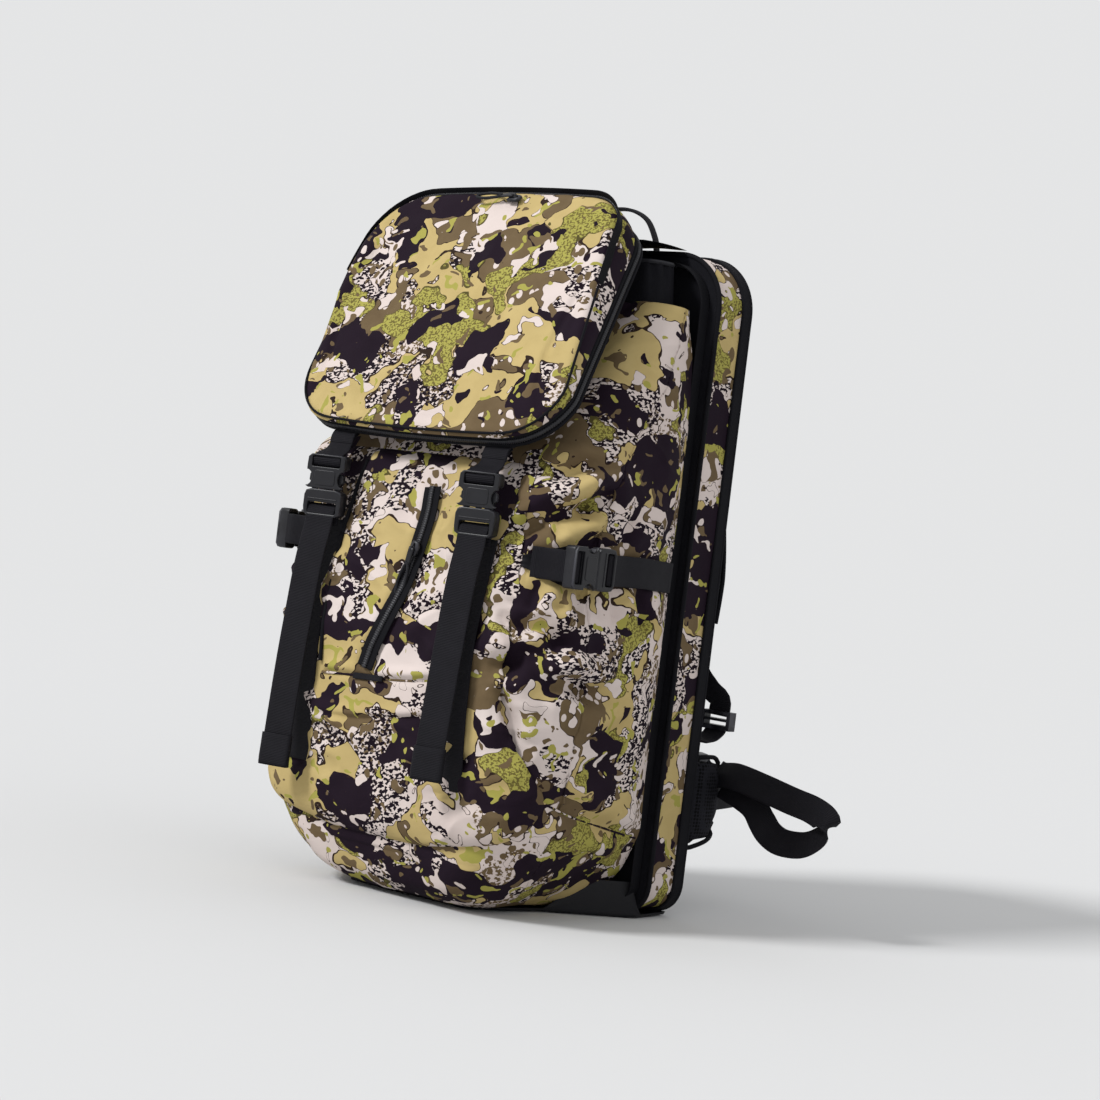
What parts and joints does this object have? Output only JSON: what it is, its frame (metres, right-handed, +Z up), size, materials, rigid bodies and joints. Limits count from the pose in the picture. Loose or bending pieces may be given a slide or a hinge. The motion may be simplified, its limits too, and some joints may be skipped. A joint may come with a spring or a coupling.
{
  "type": "hunting backpack",
  "caption": "Framed zip-on day pack in camouflage fabric with a tilted zipped lid, buckled straps, padded shoulder harness and hip belt.",
  "frame": {"origin": "on the underside of the base panel, in the middle of its width", "axes": "+X to the right of someone facing the front of the pack, +Y towards the wearer's back, +Z up"},
  "size_m": [0.4317, 0.4036, 0.5992],
  "materials": {
    "camo_fabric": "brushed woven polyester with a printed camouflage",
    "black_fabric": "plain woven nylon",
    "webbing": "ribbed nylon webbing",
    "zip_tape": "coil zip on woven tape",
    "buckle_plastic": "moulded acetal",
    "spacer_mesh": "padded spacer mesh",
    "frame_plastic": "smooth sheet",
    "aluminium": "mill finish",
    "foam": "closed-cell foam",
    "cord": "braided elastic cord"
  },
  "bodies": {
    "pack": {"frame_front_panel": "black_fabric", "side_gusset": "camo_fabric", "frame_rear_panel": "black_fabric", "rear_piping": "webbing", "bag_zip": "zip_tape", "base_panel": "black_fabric", "frame_sheet": "frame_plastic", "frame_stays": "aluminium", "foam_core": "foam", "back_pads": "spacer_mesh", "lumbar_pad": "spacer_mesh", "main_bag": "camo_fabric", "snow_collar": "black_fabric", "collar_cord": "cord", "front_pocket": "camo_fabric", "pocket_zip": "zip_tape", "pocket_band": "camo_fabric", "lid_buckle_male_left": "buckle_plastic", "lid_buckle_male_right": "buckle_plastic", "lid_buckle_prongs": "buckle_plastic", "strap_tail_left": "webbing", "strap_tail_right": "webbing", "strap_anchors": "webbing", "compression_patches": "webbing", "compression_webbing": "webbing", "compression_female_left": "buckle_plastic", "compression_female_right": "buckle_plastic", "haul_tabs": "webbing"},
    "lid": {"lid_top": "camo_fabric", "lid_base": "black_fabric", "lid_zip_lower": "zip_tape", "lid_zip_upper": "zip_tape", "lid_rear_flap": "black_fabric"},
    "lid_lower_pull": {"lid_slider_lower": "buckle_plastic"},
    "lid_upper_pull": {"lid_slider_upper": "buckle_plastic"},
    "lid_strap_l": {"lid_strap_left": "webbing", "lid_buckle_female_left": "buckle_plastic"},
    "lid_strap_r": {"lid_strap_right": "webbing", "lid_buckle_female_right": "buckle_plastic"},
    "pocket_pull": {"pocket_zip_slider": "buckle_plastic"},
    "compression_l": {"compression_male_left": "buckle_plastic"},
    "compression_r": {"compression_male_right": "buckle_plastic"},
    "haul": {"haul_loop": "webbing"},
    "harness": {"shoulder_strap_left": "spacer_mesh", "shoulder_strap_right": "spacer_mesh", "shoulder_webbing": "webbing", "ladder_locks": "buckle_plastic", "load_lifters": "webbing", "sternum_straps": "webbing", "sternum_female": "buckle_plastic"},
    "sternum_clip": {"sternum_male": "buckle_plastic"},
    "hip_l": {"hip_wing_left": "spacer_mesh", "hip_webbing_left": "webbing", "hip_female": "buckle_plastic"},
    "hip_r": {"hip_wing_right": "spacer_mesh", "hip_webbing_right": "webbing"},
    "hip_clip": {"hip_male": "buckle_plastic"}
  },
  "joints": [
    {"name": "lid_hinge", "type": "hinge", "parent": "pack", "child": "lid", "pos_m": [0, 0.014, 0.5586], "axis": [-1, 0, 0], "range_deg": [0, 110]},
    {"name": "lid_strap_left_hang", "type": "hinge", "parent": "lid", "child": "lid_strap_l", "pos_m": [-0.084, -0.17317, 0.37154], "axis": [-1, 0, 0], "range_deg": [-110, 0]},
    {"name": "lid_strap_right_hang", "type": "hinge", "parent": "lid", "child": "lid_strap_r", "pos_m": [0.084, -0.17317, 0.37154], "axis": [-1, 0, 0], "range_deg": [-110, 0]},
    {"name": "lid_lower_zip_pull", "type": "slide", "parent": "lid", "child": "lid_lower_pull", "axis": [0.0315, -0.5632, -0.8257], "range_m": [-0.03, 0.1]},
    {"name": "lid_upper_zip_pull", "type": "slide", "parent": "lid", "child": "lid_upper_pull", "axis": [1, 0, 0], "range_m": [-0.06, 0.06]},
    {"name": "pocket_zip_pull", "type": "slide", "parent": "pack", "child": "pocket_pull", "axis": [-0.2695, -0.1495, -0.9513], "range_m": [0, 0.06]},
    {"name": "compression_left_release", "type": "slide", "parent": "pack", "child": "compression_l", "axis": [0, 1, 0], "range_m": [0, 0.03]},
    {"name": "compression_right_release", "type": "slide", "parent": "pack", "child": "compression_r", "axis": [0, 1, 0], "range_m": [0, 0.03]},
    {"name": "haul_loop_fold", "type": "hinge", "parent": "pack", "child": "haul", "pos_m": [0, 0.048, 0.5615], "axis": [-1, 0, 0], "range_deg": [0, 75]},
    {"name": "harness_swing", "type": "hinge", "parent": "pack", "child": "harness", "pos_m": [0, 0.068, 0.541], "axis": [1, 0, 0], "range_deg": [0, 40]},
    {"name": "sternum_release", "type": "slide", "parent": "harness", "child": "sternum_clip", "axis": [1, 0, 0], "range_m": [0, 0.02]},
    {"name": "hip_wing_left_swing", "type": "hinge", "parent": "pack", "child": "hip_l", "pos_m": [-0.12, 0.072, 0.1], "axis": [0, 0, 1], "range_deg": [-8, 45]},
    {"name": "hip_wing_right_swing", "type": "hinge", "parent": "pack", "child": "hip_r", "pos_m": [0.12, 0.072, 0.1], "axis": [0, 0, -1], "range_deg": [-8, 45]},
    {"name": "hip_buckle_adjust", "type": "slide", "parent": "hip_r", "child": "hip_clip", "axis": [1, 0, 0], "range_m": [0, 0.03]}
  ],
  "couplings": [
    {"joint": "lid_strap_left_hang", "follows": "lid_hinge", "ratio": -1},
    {"joint": "lid_strap_right_hang", "follows": "lid_hinge", "ratio": -1}
  ]
}
